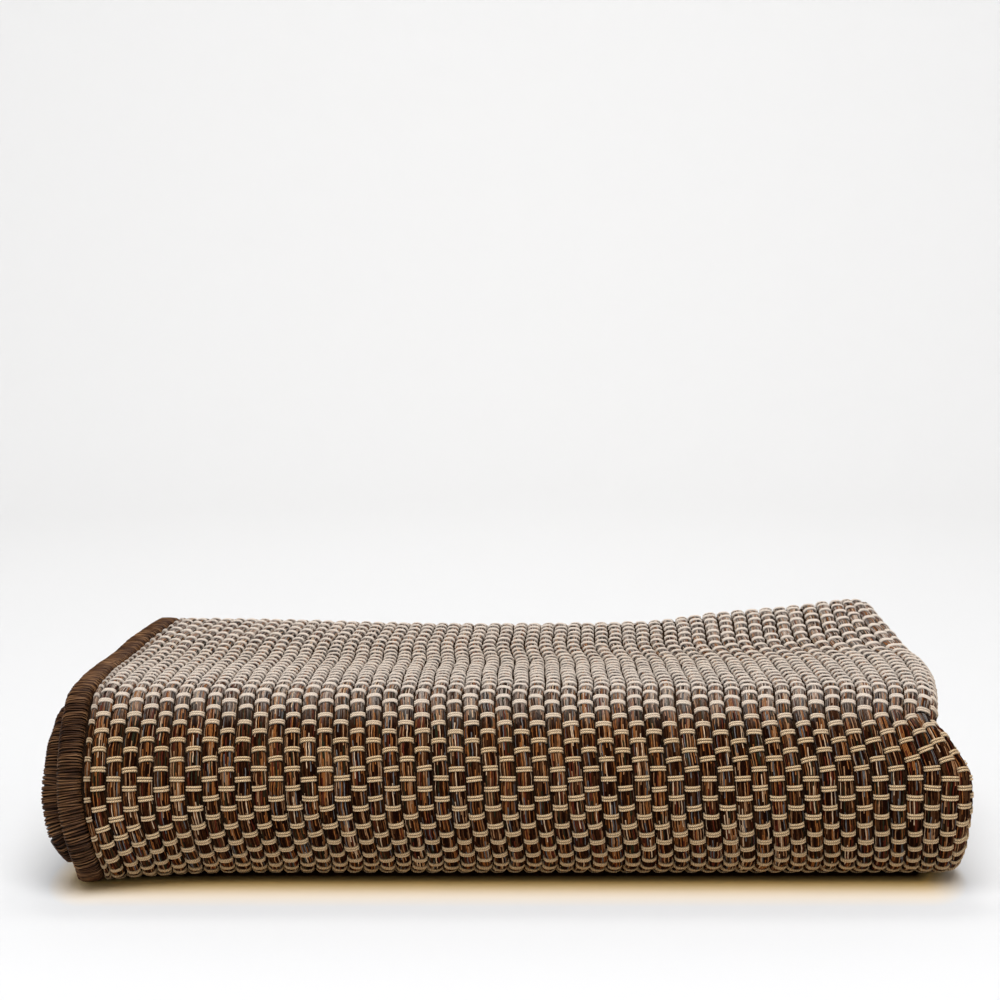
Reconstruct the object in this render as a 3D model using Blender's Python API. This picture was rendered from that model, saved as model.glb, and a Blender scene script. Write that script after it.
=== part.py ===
"""A thick woven rug, folded three times and lying on a flat surface.

The rug is first folded in half from side to side, which leaves one turn at +X and its two bound ends at -X.
The doubled cloth then runs back and forth: along the surface to the front, round the front turn, back over
the top, round the back turn, and once more forward and back inside itself. Eight layers lie in the stack.

Pieces: the cloth, and the binding round each of its two cut ends. Metres, +Z up, the front faces -Y, and the
origin is under the middle of the folded rug, on the surface that it rests on.
"""

import math

import bmesh
import bpy

MM = 0.001

# The cloth and its binding
LAYER = 10.0 * MM  # thickness of the weave
PAIR_GAP = 1.4 * MM  # air between the two layers of the doubled cloth
STACK_GAP = 2.3 * MM  # air between one run of the doubled cloth and the next
BINDING_WIDTH = 12.0 * MM
BINDING_ROUND = 3.6 * MM  # how far the wrapped yarn rounds off the outer corners
PIECE_GAP = 0.3 * MM  # between the binding and the cloth that it is sewn to

# Levels of the four runs of the doubled cloth, at its middle surface
HALF_PAIR = LAYER + PAIR_GAP / 2
RUN_RISE = 2 * HALF_PAIR + STACK_GAP
LOWEST_RUN = HALF_PAIR
INNER_LOWER_RUN = LOWEST_RUN + RUN_RISE
INNER_UPPER_RUN = INNER_LOWER_RUN + RUN_RISE
TOP_RUN = INNER_UPPER_RUN + RUN_RISE
INNER_FOLLOWS_TOP = 0.45  # the inner upper run takes this share of what the top run rises or falls

# From front to back
FRONT = -127.0 * MM
FRONT_TURN_HEIGHT = 96.6 * MM  # outside height of the front turn
FRONT_TURN_RADIUS = FRONT_TURN_HEIGHT / 2 - HALF_PAIR
FRONT_TURN_Y = FRONT + FRONT_TURN_HEIGHT / 2
INNER_TURN_Y = FRONT_TURN_Y + 1.5 * MM
BACK_TURN_Y = 101.0 * MM
TROUGH_SHARE = 0.56  # place of the trough between the front turn and the back turn
OUTER_SELVEDGE_Y = 109.0 * MM
INNER_SELVEDGE_Y = 114.0 * MM
SELVEDGE_WAVE = 2.0 * MM
SELVEDGE_WAVE_LENGTH = 260.0 * MM

# Heights of the top surface, in mm: over the front turn, in the trough behind it, and over the back turn
TOP_HEIGHTS = (
    # across, shoulder, trough, back
    (-228, 96.2, 94.2, 99.4),
    (-150, 96.6, 93.6, 98.6),
    (-60, 96.8, 92.8, 96.2),
    (30, 96.8, 92.6, 96.2),
    (80, 96.8, 92.6, 97.6),
    (115, 96.8, 92.8, 102.2),
    (165, 97.2, 93.8, 106.8),
    (195, 97.4, 95.0, 110.4),
    (228, 97.0, 95.6, 110.4),
)

# Where the cloth ends, in mm. A place counts the runs and turns that the doubled cloth has passed: 0 to 1 is
# the lowest run, 1 to 2 the front turn, 2 to 3 the top run, 3 to 4 the back turn, 4 to 5 the inner upper
# run, 5 to 6 the inner turn and 6 to 7 the inner lower run.
CLOTH_ENDS = (
    # place, outer bound end, inner bound end, turn at +X
    (0.00, -211.0, -219.0, 220.0),
    (0.80, -214.0, -222.0, 225.0),
    (1.00, -215.2, -222.6, 228.2),
    (1.10, -214.8, -222.4, 228.6),
    (1.22, -212.8, -222.6, 228.0),
    (1.35, -215.0, -227.0, 227.4),
    (1.44, -218.1, -229.1, 228.0),
    (1.52, -219.7, -230.0, 227.9),
    (1.60, -220.0, -229.3, 226.8),
    (1.68, -220.7, -229.0, 219.8),
    (1.74, -221.3, -229.0, 218.6),
    (1.80, -222.0, -228.5, 212.7),
    (1.88, -222.9, -228.8, 215.1),
    (2.00, -222.9, -228.8, 217.2),
    (2.25, -225.4, -227.4, 224.2),
    (2.50, -225.6, -225.8, 226.6),
    (2.72, -224.2, -222.0, 221.6),
    (2.90, -219.0, -217.8, 214.2),
    (3.05, -216.2, -214.8, 212.8),
    (3.50, -214.6, -213.4, 214.0),
    (4.00, -214.0, -213.0, 213.0),
    (5.00, -214.0, -213.2, 211.0),
    (5.50, -214.4, -213.4, 211.0),
    (6.00, -213.6, -213.0, 212.0),
    (7.00, -211.0, -214.0, 213.0),
)
OUTER_END, INNER_END, TURN_END = 1, 2, 3

# The pinch where the turn at +X is itself bent over the front turn
PINCH_DEPTH = 3.4 * MM
PINCH_PLACE = 1.80
PINCH_LENGTH = 0.055
PINCH_REACH = 15.0 * MM

# The front has settled towards its bound end: it leans back above, and its foot spreads forward
LEAN_BACK = 7.5 * MM
LEAN_FROM = 110.0 * MM
LEAN_REACH = 310.0 * MM
LEAN_POWER = 1.4
LEAN_HEIGHTS = (58.0 * MM, 92.0 * MM)
FOOT_FORWARD = 21.0 * MM
FOOT_FROM = -130.0 * MM
FOOT_REACH = 95.0 * MM
FOOT_HEIGHTS = (8.0 * MM, 56.0 * MM)
SETTLED_DEPTH = 70.0 * MM  # behind the front turn's middle, where this ends

# The inner bound end reaches past the outer one at the bottom, and hangs down there
DROOP_DEPTH = 8.0 * MM
DROOP_REACH = 11.0 * MM
DROOP_FADE = (1.15, 1.42)

# How finely the cloth is divided
PLACES_PER_RUN = (6, 16, 10, 8, 6, 8, 5)
ACROSS_SHARES = (0.0, 0.025, 0.06, 0.11, 0.19, 0.30, 0.42, 0.54, 0.66, 0.78, 0.90)
TURN_STEPS = 6
SLOPE_STEP = 0.002

MATERIALS = {
    # name: base colour, roughness
    "woven_yarn": ((0.235, 0.155, 0.098, 1.0), 0.92),
    "binding_yarn": ((0.075, 0.042, 0.026, 1.0), 0.80),
}


def mix(first, last, share):
    return first + (last - first) * share


def ease(share):
    """0 to 1 with no slope at either end."""
    share = min(max(share, 0.0), 1.0)
    return share * share * (3.0 - 2.0 * share)


def table_value(rows, place, column):
    """A smooth curve through one column of a table, read at a place in its first column."""
    last = len(rows) - 1
    place = min(max(place, rows[0][0]), rows[last][0])
    index = 0
    while index < last - 1 and place > rows[index + 1][0]:
        index += 1

    def slope(at):
        before, after = rows[max(at - 1, 0)], rows[min(at + 1, last)]
        return (after[column] - before[column]) / (after[0] - before[0])

    start, end = rows[index], rows[index + 1]
    width = end[0] - start[0]
    share = (place - start[0]) / width
    rise = end[column] - start[column]
    first_bend = share * (1 - share) ** 2 * (slope(index) * width - rise)
    last_bend = share**2 * (1 - share) * (slope(index + 1) * width - rise)
    return start[column] + rise * share + first_bend - last_bend


def end_of(place, column):
    return table_value(CLOTH_ENDS, place, column) * MM


def top_run(x, y):
    """Middle of the doubled cloth along the top: a shoulder, a shallow trough, and a rise to the back."""
    shoulder, trough, back = (table_value(TOP_HEIGHTS, x / MM, column) * MM for column in (1, 2, 3))
    share = (y - FRONT_TURN_Y) / (BACK_TURN_Y - FRONT_TURN_Y)
    if share < TROUGH_SHARE:
        height = mix(shoulder, trough, ease(share / TROUGH_SHARE))
    else:
        height = mix(trough, back, ease((share - TROUGH_SHARE) / (1 - TROUGH_SHARE)))
    return height - HALF_PAIR


def inner_upper_run(x, y):
    return INNER_UPPER_RUN + INNER_FOLLOWS_TOP * (top_run(x, y) - TOP_RUN)


def selvedge(y, x):
    return y + SELVEDGE_WAVE * math.sin(2 * math.pi * x / SELVEDGE_WAVE_LENGTH)


def turn(y, lower, upper, radius, angle):
    middle = (lower + upper) / 2
    return y + radius * math.cos(angle), middle + radius * math.sin(angle)


def front_turn(x, share):
    """The round front starts flat on the surface and ends at the shoulder's own height."""
    angle = -math.pi / 2 - math.pi * share
    y, z = turn(FRONT_TURN_Y, LOWEST_RUN, LOWEST_RUN + 2 * FRONT_TURN_RADIUS, FRONT_TURN_RADIUS, angle)
    lift = top_run(x, FRONT_TURN_Y) - (LOWEST_RUN + 2 * FRONT_TURN_RADIUS)
    return y, z + lift * ease(share)


def settled(x, y, z):
    """How far back a point has moved as the front settled: less than nothing where it came forward."""
    low, high = LEAN_HEIGHTS
    leaning = min(max((LEAN_FROM - x) / LEAN_REACH, 0.0), 1.0) ** LEAN_POWER
    back = LEAN_BACK * leaning * ease((z - low) / (high - low))
    low, high = FOOT_HEIGHTS
    spreading = min(max((FOOT_FROM - x) / FOOT_REACH, 0.0), 1.1) ** 2
    forward = FOOT_FORWARD * spreading * (1.0 - ease((z - low) / (high - low)))
    return (back - forward) * (1.0 - ease((y - FRONT_TURN_Y) / SETTLED_DEPTH))


def spine(place, x):
    """Middle of the doubled cloth at a place along its way, in the upright plane at x."""
    run = min(int(place), 6)
    share = place - run
    if run == 0:
        return mix(selvedge(OUTER_SELVEDGE_Y, x), FRONT_TURN_Y, share), LOWEST_RUN
    if run == 1:
        return front_turn(x, share)
    if run == 2:
        y = mix(FRONT_TURN_Y, BACK_TURN_Y, share)
        return y, top_run(x, y)
    if run == 3:
        lower, upper = inner_upper_run(x, BACK_TURN_Y), top_run(x, BACK_TURN_Y)
        return turn(BACK_TURN_Y, lower, upper, (upper - lower) / 2, math.pi / 2 - math.pi * share)
    if run == 4:
        y = mix(BACK_TURN_Y, INNER_TURN_Y, share)
        return y, inner_upper_run(x, y)
    if run == 5:
        upper = inner_upper_run(x, INNER_TURN_Y)
        radius = (upper - INNER_LOWER_RUN) / 2
        return turn(INNER_TURN_Y, INNER_LOWER_RUN, upper, radius, math.pi / 2 + math.pi * share)
    return mix(INNER_TURN_Y, selvedge(INNER_SELVEDGE_Y, x), share), INNER_LOWER_RUN


def pinch(place, x):
    along = (place - PINCH_PLACE) / PINCH_LENGTH
    across = (x - end_of(place, TURN_END)) / PINCH_REACH
    return -PINCH_DEPTH * math.exp(-(along**2) - across**2)


def droop(place, x):
    """The part of the inner bound end that reaches past the outer one sinks towards the surface."""
    past = (end_of(place, OUTER_END) + 0.5 * MM - x) / DROOP_REACH
    start, stop = DROOP_FADE
    return DROOP_DEPTH * ease(past) * (1.0 - ease((place - start) / (stop - start)))


def cloth_point(place, x, out):
    """A point that lies `out` from the middle of the doubled cloth, on the side that shows outside."""
    before, after = spine(max(place - SLOPE_STEP, 0.0), x), spine(min(place + SLOPE_STEP, 7.0), x)
    run_y, run_z = after[0] - before[0], after[1] - before[1]
    length = math.hypot(run_y, run_z)
    y, z = spine(place, x)
    out += pinch(place, x) + droop(place, x)
    y, z = y - out * run_z / length, z + out * run_y / length
    return x, y + settled(x, y, z), z


def places():
    """Places along the way of the doubled cloth, closer together in its turns."""
    found = [0.0]
    for run, steps in enumerate(PLACES_PER_RUN):
        found += [run + (step + 1) / steps for step in range(steps)]
    return found


def hairpin(place):
    """The doubled cloth cut across at one place: (x, out) on its outer face, then on its inner face."""
    centre = end_of(place, TURN_END) - HALF_PAIR
    inner_radius = PAIR_GAP / 2
    starts = [end_of(place, column) + BINDING_WIDTH + PIECE_GAP for column in (OUTER_END, INNER_END)]
    outside, inside = [], []
    for share in ACROSS_SHARES:
        x = mix(starts[0], centre, share)
        outside.append((x, HALF_PAIR))
        inside.append((x, inner_radius))
    for step in range(TURN_STEPS + 1):
        angle = math.pi / 2 - math.pi * step / TURN_STEPS
        outside.append((centre + HALF_PAIR * math.cos(angle), HALF_PAIR * math.sin(angle)))
        inside.append((centre + inner_radius * math.cos(angle), inner_radius * math.sin(angle)))
    for share in reversed(ACROSS_SHARES):
        x = mix(starts[1], centre, share)
        outside.append((x, -HALF_PAIR))
        inside.append((x, -inner_radius))
    return outside, inside


def binding_section(place, column, side):
    """The wrapped edge cut across: a bar as thick as the cloth, rounded off along its outer side."""
    tip = end_of(place, column)
    root = tip + BINDING_WIDTH
    low, high = PAIR_GAP / 2, HALF_PAIR
    slant = BINDING_ROUND * (1 - math.sqrt(0.5))
    corners = [
        (root, low),
        (tip + BINDING_ROUND, low),
        (tip + slant, low + slant),
        (tip, low + BINDING_ROUND),
        (tip, high - BINDING_ROUND),
        (tip + slant, high - slant),
        (tip + BINDING_ROUND, high),
        (root, high),
    ]
    return [(x, side * out) for x, out in corners]


def add_object(name, mesh_maker, material):
    mesh = bpy.data.meshes.new(name)
    shape = bmesh.new()
    mesh_maker(shape)
    bmesh.ops.recalc_face_normals(shape, faces=shape.faces)
    bmesh.ops.triangulate(shape, faces=shape.faces)
    shape.to_mesh(mesh)
    shape.free()
    mesh.shade_smooth()
    mesh.set_sharp_from_angle(angle=math.radians(50))
    mesh.materials.append(material)
    made = bpy.data.objects.new(name, mesh)
    bpy.context.scene.collection.objects.link(made)
    return made


def add_points(shape, place, section):
    return [shape.verts.new(cloth_point(place, x, out)) for x, out in section]


def cloth_mesh(shape):
    rows = []
    for place in places():
        outside, inside = hairpin(place)
        rows.append((add_points(shape, place, outside), add_points(shape, place, inside)))
    last = len(rows[0][0]) - 1
    for (outer_a, inner_a), (outer_b, inner_b) in zip(rows, rows[1:]):
        for i in range(last):
            shape.faces.new((outer_a[i], outer_a[i + 1], outer_b[i + 1], outer_b[i]))
            shape.faces.new((inner_a[i], inner_b[i], inner_b[i + 1], inner_a[i + 1]))
        shape.faces.new((outer_a[0], outer_b[0], inner_b[0], inner_a[0]))
        shape.faces.new((outer_a[last], inner_a[last], inner_b[last], outer_b[last]))
    for outer, inner in (rows[0], rows[-1]):
        for i in range(last):
            shape.faces.new((outer[i], inner[i], inner[i + 1], outer[i + 1]))


def binding_mesh(column, side):
    def make(shape):
        rings = [add_points(shape, place, binding_section(place, column, side)) for place in places()]
        for ring_a, ring_b in zip(rings, rings[1:]):
            for i in range(len(ring_a)):
                after = (i + 1) % len(ring_a)
                shape.faces.new((ring_a[i], ring_a[after], ring_b[after], ring_b[i]))
        shape.faces.new(rings[0])
        shape.faces.new(rings[-1])

    return make


def make_material(name):
    colour, roughness = MATERIALS[name]
    material = bpy.data.materials.new(name)
    material.use_nodes = True
    shader = material.node_tree.nodes["Principled BSDF"]
    shader.inputs["Base Color"].default_value = colour
    shader.inputs["Roughness"].default_value = roughness
    shader.inputs["Metallic"].default_value = 0.0
    material.diffuse_color = colour
    return material


def centre_on_surface(pieces):
    """Puts the origin under the middle of the box round all the pieces."""
    points = [vertex.co for piece in pieces for vertex in piece.data.vertices]
    for axis in (0, 1):
        values = [point[axis] for point in points]
        middle = (min(values) + max(values)) / 2
        for point in points:
            point[axis] -= middle


def main():
    for old in list(bpy.data.objects):
        bpy.data.objects.remove(old, do_unlink=True)
    woven, wrapped = make_material("woven_yarn"), make_material("binding_yarn")
    pieces = [
        add_object("rug_cloth", cloth_mesh, woven),
        add_object("outer_end_binding", binding_mesh(OUTER_END, 1), wrapped),
        add_object("inner_end_binding", binding_mesh(INNER_END, -1), wrapped),
    ]
    centre_on_surface(pieces)


main()
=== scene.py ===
"""A thick woven rug, doubled and then folded three times, lying on a pale surface.

The folded cloth is described once, by the way that the doubled cloth runs: a place along its way, a number
of weft bundles across, and a lift from its outer face. Every piece is laid out with that description, so
the weft bundles, the paired warp yarn and the wrapped edges follow the same folds. Metres, +Z up.
"""

import math

import bmesh
import bpy
import numpy as np
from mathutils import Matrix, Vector


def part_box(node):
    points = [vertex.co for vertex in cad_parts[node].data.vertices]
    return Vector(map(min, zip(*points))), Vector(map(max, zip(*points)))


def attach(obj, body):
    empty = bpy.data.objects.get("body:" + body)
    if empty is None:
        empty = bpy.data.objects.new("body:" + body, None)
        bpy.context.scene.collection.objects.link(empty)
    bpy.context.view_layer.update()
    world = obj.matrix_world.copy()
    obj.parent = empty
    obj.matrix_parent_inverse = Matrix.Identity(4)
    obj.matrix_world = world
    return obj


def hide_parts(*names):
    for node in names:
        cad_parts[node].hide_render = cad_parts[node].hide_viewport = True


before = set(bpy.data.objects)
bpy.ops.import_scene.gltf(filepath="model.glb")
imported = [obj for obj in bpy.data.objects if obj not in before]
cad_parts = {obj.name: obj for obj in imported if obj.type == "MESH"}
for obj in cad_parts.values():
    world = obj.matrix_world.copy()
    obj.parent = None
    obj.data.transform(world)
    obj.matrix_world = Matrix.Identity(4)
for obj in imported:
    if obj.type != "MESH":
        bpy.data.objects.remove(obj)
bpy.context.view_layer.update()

MM = 0.001
SEED = 20

# ---- The folded cloth: the sizes of the solids, but for a shallower notch in the turn at +X ----

LAYER = 10.0 * MM
PAIR_GAP = 1.4 * MM
STACK_GAP = 2.3 * MM
BINDING_WIDTH = 12.0 * MM
PIECE_GAP = 0.3 * MM

HALF_PAIR = LAYER + PAIR_GAP / 2
RUN_RISE = 2 * HALF_PAIR + STACK_GAP
LOWEST_RUN = HALF_PAIR
INNER_LOWER_RUN = LOWEST_RUN + RUN_RISE
INNER_UPPER_RUN = INNER_LOWER_RUN + RUN_RISE
TOP_RUN = INNER_UPPER_RUN + RUN_RISE
INNER_FOLLOWS_TOP = 0.45

FRONT = -127.0 * MM
FRONT_TURN_HEIGHT = 96.6 * MM
FRONT_TURN_RADIUS = FRONT_TURN_HEIGHT / 2 - HALF_PAIR
FRONT_TURN_Y = FRONT + FRONT_TURN_HEIGHT / 2
INNER_TURN_Y = FRONT_TURN_Y + 1.5 * MM
BACK_TURN_Y = 101.0 * MM
TROUGH_SHARE = 0.56
OUTER_SELVEDGE_Y = 109.0 * MM
INNER_SELVEDGE_Y = 114.0 * MM
SELVEDGE_WAVE = 2.0 * MM
SELVEDGE_WAVE_LENGTH = 260.0 * MM

# Heights of the top surface, in mm
TOP_HEIGHTS = (
    # across, shoulder, trough, back
    (-228, 96.2, 94.2, 99.4),
    (-150, 96.6, 93.6, 98.6),
    (-60, 96.8, 92.8, 96.2),
    (30, 96.8, 92.6, 96.2),
    (80, 96.8, 92.6, 97.6),
    (115, 96.8, 92.8, 102.2),
    (165, 97.2, 93.8, 106.8),
    (195, 97.4, 95.0, 110.4),
    (228, 97.0, 95.6, 110.4),
)

# Where the cloth ends, in mm, by the place along its way: 0 to 1 is the lowest run, 1 to 2 the front turn,
# 2 to 3 the top run, 3 to 4 the back turn, 4 to 5 the inner upper run, 5 to 6 the inner turn and 6 to 7
# the inner lower run
CLOTH_ENDS = (
    # place, outer bound end, inner bound end, turn at +X
    (0.00, -211.0, -219.0, 220.0),
    (0.80, -214.0, -222.0, 225.0),
    (1.00, -215.2, -222.6, 228.2),
    (1.10, -214.8, -222.4, 228.6),
    (1.22, -212.8, -222.6, 228.0),
    (1.35, -215.0, -227.0, 227.4),
    (1.44, -218.1, -229.1, 228.0),
    (1.52, -219.7, -230.0, 227.9),
    (1.60, -220.0, -229.3, 226.8),
    (1.68, -220.7, -229.0, 221.2),
    (1.74, -221.3, -229.0, 217.4),
    (1.80, -222.0, -228.5, 213.4),
    (1.88, -222.9, -228.8, 214.6),
    (2.00, -222.9, -228.8, 217.2),
    (2.25, -225.4, -227.4, 224.2),
    (2.50, -225.6, -225.8, 226.6),
    (2.72, -224.2, -222.0, 221.6),
    (2.90, -219.0, -217.8, 214.2),
    (3.05, -216.2, -214.8, 212.8),
    (3.50, -214.6, -213.4, 214.0),
    (4.00, -214.0, -213.0, 213.0),
    (5.00, -214.0, -213.2, 211.0),
    (5.50, -214.4, -213.4, 211.0),
    (6.00, -213.6, -213.0, 212.0),
    (7.00, -211.0, -214.0, 213.0),
)
OUTER_END, INNER_END, TURN_END = 1, 2, 3
LAST_PLACE = 7.0
LAST_OUTSIDE_PLACE = 4.0
SPINE_STEP = 0.002
WAY_SAMPLES = 1401
FOREMOST_PLACES = (1.1, 1.7, 61)

PINCH_DEPTH = 2.2 * MM
PINCH_PLACE = 1.80
PINCH_LENGTH = 0.055
PINCH_REACH = 15.0 * MM

# The front has settled towards its bound end: it leans back above, and its foot spreads forward
LEAN_BACK = 7.5 * MM
LEAN_FROM = 110.0 * MM
LEAN_REACH = 310.0 * MM
LEAN_POWER = 1.4
LEAN_HEIGHTS = (58.0 * MM, 92.0 * MM)
FOOT_FORWARD = 21.0 * MM
FOOT_FROM = -130.0 * MM
FOOT_REACH = 95.0 * MM
FOOT_MOST = 1.1
FOOT_HEIGHTS = (8.0 * MM, 56.0 * MM)
SETTLED_DEPTH = 70.0 * MM

# The inner bound end reaches past the outer one at the bottom, and hangs down there
DROOP_DEPTH = 8.0 * MM
DROOP_REACH = 11.0 * MM
DROOP_INSET = 0.5 * MM
DROOP_FADE = (1.15, 1.42)

# The weave
BUNDLES_A_LAYER = 52
BUNDLES_IN_TURN = 4
TURN_START = BUNDLES_A_LAYER
TURN_STOP = BUNDLES_A_LAYER + BUNDLES_IN_TURN
ALL_BUNDLES = TURN_STOP + BUNDLES_A_LAYER
FIRST_BUNDLE = 0.1
NARROW_BUNDLE = 0.42
NARROW_SHARE = 0.45
BUNDLE_PITCH = 8.1 * MM
ROW_PITCH = 9.8 * MM
CORE_DROP = 2.8 * MM
CORE_UNDER = 3.0 * MM
LAST_BUNDLES_POWER = 14

# How far the bundles lean towards +X from their even places, in bundles, by place and by bundle across
LEAN_ACROSS = (0.0, 6.0, 23.0, 40.0, 47.0, 52.0, 56.0)
BUNDLES_LEAN = (
    # place, then the lean at each of LEAN_ACROSS
    (1.00, 0.0, -0.60, -0.86, -0.66, -0.38, -0.30, 0.0),
    (1.30, 0.0, -0.55, -0.77, -0.66, -0.44, -0.30, 0.0),
    (1.50, 0.0, -0.30, -0.46, -0.34, -0.22, -0.36, 0.0),
    (1.68, 0.0, -0.36, -0.55, -0.44, -0.28, -0.02, 0.0),
    (1.80, 0.0, -0.30, -0.52, -0.42, -0.22, 0.30, 0.0),
    (1.92, 0.0, -0.30, -0.50, -0.30, 0.02, 0.45, 0.0),
    (2.30, 0.0, -0.20, -0.26, -0.02, 0.20, 0.05, 0.0),
    (2.50, 0.0, -0.18, -0.30, -0.10, 0.05, 0.0, 0.0),
    (2.72, 0.0, -0.35, -0.85, -0.95, -0.80, -0.30, 0.0),
    (3.00, 0.0, -0.60, -1.65, -1.90, -1.35, -0.10, 0.0),
)


def mix(first, last, share):
    return first + (last - first) * share


def ease(share):
    share = np.clip(share, 0.0, 1.0)
    return share * share * (3.0 - 2.0 * share)


def table_curve(rows, places, column):
    """A smooth curve through one column of a table, read at places in its first column."""
    table = np.array(rows, dtype=float)
    at, values = table[:, 0], table[:, column]
    places = np.clip(places, at[0], at[-1])
    index = np.clip(np.searchsorted(at, places, side="right") - 1, 0, len(at) - 2)
    before = np.maximum(np.arange(len(at)) - 1, 0)
    after = np.minimum(np.arange(len(at)) + 1, len(at) - 1)
    slope = (values[after] - values[before]) / (at[after] - at[before])
    width = at[index + 1] - at[index]
    share = (places - at[index]) / width
    rise = values[index + 1] - values[index]
    first_bend = share * (1 - share) ** 2 * (slope[index] * width - rise)
    last_bend = share**2 * (1 - share) * (slope[index + 1] * width - rise)
    return values[index] + rise * share + first_bend - last_bend


def end_of(place, column):
    return table_curve(CLOTH_ENDS, place, column) * MM


def top_run(x, y):
    shoulder, trough, back = (table_curve(TOP_HEIGHTS, x / MM, column) * MM for column in (1, 2, 3))
    share = (y - FRONT_TURN_Y) / (BACK_TURN_Y - FRONT_TURN_Y)
    falling = mix(shoulder, trough, ease(share / TROUGH_SHARE))
    rising = mix(trough, back, ease((share - TROUGH_SHARE) / (1 - TROUGH_SHARE)))
    return np.where(share < TROUGH_SHARE, falling, rising) - HALF_PAIR


def inner_upper_run(x, y):
    return INNER_UPPER_RUN + INNER_FOLLOWS_TOP * (top_run(x, y) - TOP_RUN)


def selvedge(y, x):
    return y + SELVEDGE_WAVE * np.sin(2 * math.pi * x / SELVEDGE_WAVE_LENGTH)


def lowest_run(x, share):
    return mix(selvedge(OUTER_SELVEDGE_Y, x), FRONT_TURN_Y, share), np.full_like(x, LOWEST_RUN)


def front_turn(x, share):
    angle = -math.pi / 2 - math.pi * share
    full = LOWEST_RUN + 2 * FRONT_TURN_RADIUS
    lift = top_run(x, np.full_like(x, FRONT_TURN_Y)) - full
    y = FRONT_TURN_Y + FRONT_TURN_RADIUS * np.cos(angle)
    return y, LOWEST_RUN + FRONT_TURN_RADIUS * (1 + np.sin(angle)) + lift * ease(share)


def upper_run(x, share):
    y = mix(FRONT_TURN_Y, BACK_TURN_Y, share)
    return y, top_run(x, y)


def round_turn(y, lower, upper, turned):
    """A turn from the upper of two heights towards the lower one."""
    radius = (upper - lower) / 2
    angle = math.pi / 2 + turned
    return y + radius * np.cos(angle), (lower + upper) / 2 + radius * np.sin(angle)


def back_turn(x, share):
    y = np.full_like(x, BACK_TURN_Y)
    return round_turn(y, inner_upper_run(x, y), top_run(x, y), -math.pi * share)


def inner_forward_run(x, share):
    y = mix(BACK_TURN_Y, INNER_TURN_Y, share)
    return y, inner_upper_run(x, y)


def inner_turn(x, share):
    y = np.full_like(x, INNER_TURN_Y)
    return round_turn(y, INNER_LOWER_RUN, inner_upper_run(x, y), math.pi * share)


def inner_backward_run(x, share):
    return mix(INNER_TURN_Y, selvedge(INNER_SELVEDGE_Y, x), share), np.full_like(x, INNER_LOWER_RUN)


RUNS = (lowest_run, front_turn, upper_run, back_turn, inner_forward_run, inner_turn, inner_backward_run)


def settled(x, y, z):
    """How far back a point has moved as the front settled: less than nothing where it came forward."""
    low, high = LEAN_HEIGHTS
    leaning = np.clip((LEAN_FROM - x) / LEAN_REACH, 0.0, 1.0) ** LEAN_POWER
    back = LEAN_BACK * leaning * ease((z - low) / (high - low))
    low, high = FOOT_HEIGHTS
    spreading = np.clip((FOOT_FROM - x) / FOOT_REACH, 0.0, FOOT_MOST) ** 2
    forward = FOOT_FORWARD * spreading * (1.0 - ease((z - low) / (high - low)))
    return (back - forward) * (1.0 - ease((y - FRONT_TURN_Y) / SETTLED_DEPTH))


def spine(place, x):
    """Middle of the doubled cloth: (y, z) at places along its way, in the upright planes at x."""
    place = np.clip(place, 0.0, LAST_PLACE)
    y, z = np.zeros_like(x), np.zeros_like(x)
    whole = np.minimum(place.astype(int), len(RUNS) - 1)
    for number, run in enumerate(RUNS):
        here = whole == number
        y[here], z[here] = run(x[here], place[here] - number)
    return y, z


def pinch(place, x):
    along = (place - PINCH_PLACE) / PINCH_LENGTH
    across = (x - end_of(place, TURN_END)) / PINCH_REACH
    return -PINCH_DEPTH * np.exp(-(along**2) - across**2)


def droop(place, x):
    """The part of the inner bound end that reaches past the outer one sinks towards the surface."""
    past = (end_of(place, OUTER_END) + DROOP_INSET - x) / DROOP_REACH
    start, stop = DROOP_FADE
    return DROOP_DEPTH * ease(past) * (1.0 - ease((place - start) / (stop - start)))


def off_the_spine(place, x, out):
    """Points that lie `out` from the middle of the doubled cloth."""
    before_y, before_z = spine(place - SPINE_STEP, x)
    after_y, after_z = spine(place + SPINE_STEP, x)
    run_y, run_z = after_y - before_y, after_z - before_z
    length = np.hypot(run_y, run_z)
    y, z = spine(place, x)
    out = out + pinch(place, x) + droop(place, x)
    y, z = y - out * run_z / length, z + out * run_y / length
    y = y + settled(x, y, z)
    return np.column_stack((x + CENTRE_SHIFT[0], y + CENTRE_SHIFT[1], z))


def leaning(place, across):
    """Bundle places with the lean of the bundles added."""
    columns = np.array([table_curve(BUNDLES_LEAN, place, 1 + k) for k in range(len(LEAN_ACROSS))])
    index = np.clip(np.searchsorted(LEAN_ACROSS, across, side="right") - 1, 0, len(LEAN_ACROSS) - 2)
    low, high = np.array(LEAN_ACROSS)[index], np.array(LEAN_ACROSS)[index + 1]
    share = np.clip((across - low) / (high - low), 0.0, 1.0)
    each = np.arange(len(across))
    return across + mix(columns[index, each], columns[index + 1, each], share)


def across_from(place, column, centre, across):
    """How far across a bundle lies: the last few of a face take up what its width varies."""
    start = end_of(place, column) + BINDING_WIDTH + PIECE_GAP
    across = np.clip(across, 0, BUNDLES_A_LAYER)
    left_over = centre - start - BUNDLES_A_LAYER * BUNDLE_PITCH
    taken_up = left_over * (across / BUNDLES_A_LAYER) ** LAST_BUNDLES_POWER
    return start + (across * BUNDLE_PITCH + taken_up)


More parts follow.
